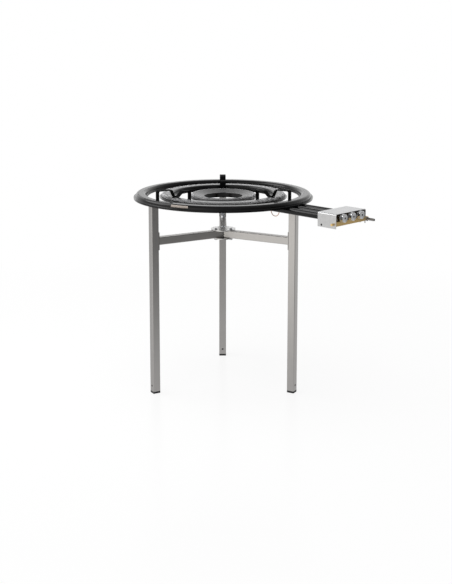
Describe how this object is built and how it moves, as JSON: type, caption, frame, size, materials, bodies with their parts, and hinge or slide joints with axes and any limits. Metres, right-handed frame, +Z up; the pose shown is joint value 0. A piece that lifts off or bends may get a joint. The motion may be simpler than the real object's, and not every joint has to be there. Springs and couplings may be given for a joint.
{
  "type": "paella burner",
  "caption": "Concentric black gas burner rings with bent pan supports, feed tubes and a tap box with bright knobs, on a folding tripod of square steel tube.",
  "frame": {"origin": "on the floor, below the common axis of the burner rings", "axes": "+Z up, +Y towards the back leg, +X to the right as seen from the front"},
  "size_m": [0.9162, 0.8268, 0.813],
  "materials": {
    "stainless": "brushed square tube and plate",
    "enamel": "black semi-gloss enamel",
    "galvanised": "bright galvanised sheet",
    "zinc": "bright zinc plate",
    "chrome": "polished",
    "brass": "machined",
    "copper": "drawn copper",
    "foot_cap": "moulded black",
    "blank_plate": "plain matt film"
  },
  "bodies": {
    "stand": {"hub_plate_top": "stainless", "hub_plate_bottom": "stainless", "hub_bolts": "zinc", "hub_nuts": "zinc", "back_crossbar": "stainless", "back_leg": "stainless", "back_cleat": "stainless", "back_cleat_bolts": "zinc", "back_foot": "foot_cap", "back_foot_rivet": "zinc"},
    "left_arm": {"left_crossbar": "stainless", "left_leg": "stainless", "left_cleat": "stainless", "left_cleat_bolts": "zinc", "left_foot": "foot_cap", "left_foot_rivet": "zinc"},
    "right_arm": {"right_crossbar": "stainless", "right_leg": "stainless", "right_cleat": "stainless", "right_cleat_bolts": "zinc", "right_foot": "foot_cap", "right_foot_rivet": "zinc"},
    "burner": {"outer_ring_top": "enamel", "outer_ring_pan": "enamel", "middle_ring_top": "enamel", "middle_ring_pan": "enamel", "inner_ring_top": "enamel", "inner_ring_pan": "enamel", "pan_support_back": "enamel", "pan_support_left": "enamel", "pan_support_right": "enamel", "support_rivets": "enamel", "outer_feed_tube": "enamel", "middle_feed_tube": "enamel", "inner_feed_tube": "enamel", "box_cover": "galvanised", "box_back_plate": "enamel", "box_screws": "zinc", "manifold": "brass", "manifold_plugs": "brass", "hose_nozzle": "zinc", "outer_tap_body": "brass", "middle_tap_body": "brass", "inner_tap_body": "brass", "injectors": "brass", "thermocouple_lead": "copper", "blank_plate": "blank_plate"},
    "outer_tap": {"outer_tap_plug": "brass"},
    "outer_knob": {"outer_tap_spindle": "zinc", "outer_tap_spring": "zinc", "outer_tap_knob": "chrome"},
    "middle_tap": {"middle_tap_plug": "brass"},
    "middle_knob": {"middle_tap_spindle": "zinc", "middle_tap_spring": "zinc", "middle_tap_knob": "chrome"},
    "inner_tap": {"inner_tap_plug": "brass"},
    "inner_knob": {"inner_tap_spindle": "zinc", "inner_tap_spring": "zinc", "inner_tap_knob": "chrome"}
  },
  "joints": [
    {"name": "left_arm_fold", "type": "hinge", "parent": "stand", "child": "left_arm", "pos_m": [-0.03031, -0.0175, 0.615], "axis": [0, 0, 1], "range_deg": [-110, 0]},
    {"name": "right_arm_fold", "type": "hinge", "parent": "stand", "child": "right_arm", "pos_m": [0.03031, -0.0175, 0.615], "axis": [0, 0, 1], "range_deg": [0, 110]},
    {"name": "burner_lift", "type": "slide", "parent": "stand", "child": "burner", "axis": [0, 0, 1], "range_m": [0, 0.3]},
    {"name": "outer_tap_turn", "type": "hinge", "parent": "burner", "child": "outer_tap", "pos_m": [0.48873, -0.36214, 0.7585], "axis": [0.6947, -0.7193, 0], "range_deg": [0, 200]},
    {"name": "outer_knob_push", "type": "slide", "parent": "outer_tap", "child": "outer_knob", "axis": [-0.6947, 0.7193, 0], "range_m": [0, 0.0025], "stiffness_N_per_m": 1500, "springref_m": -0.001},
    {"name": "middle_tap_turn", "type": "hinge", "parent": "burner", "child": "middle_tap", "pos_m": [0.45276, -0.39687, 0.7585], "axis": [0.6947, -0.7193, 0], "range_deg": [0, 200]},
    {"name": "middle_knob_push", "type": "slide", "parent": "middle_tap", "child": "middle_knob", "axis": [-0.6947, 0.7193, 0], "range_m": [0, 0.0025], "stiffness_N_per_m": 1500, "springref_m": -0.001},
    {"name": "inner_tap_turn", "type": "hinge", "parent": "burner", "child": "inner_tap", "pos_m": [0.4168, -0.4316, 0.7585], "axis": [0.6947, -0.7193, 0], "range_deg": [0, 200]},
    {"name": "inner_knob_push", "type": "slide", "parent": "inner_tap", "child": "inner_knob", "axis": [-0.6947, 0.7193, 0], "range_m": [0, 0.0025], "stiffness_N_per_m": 1500, "springref_m": -0.001}
  ]
}
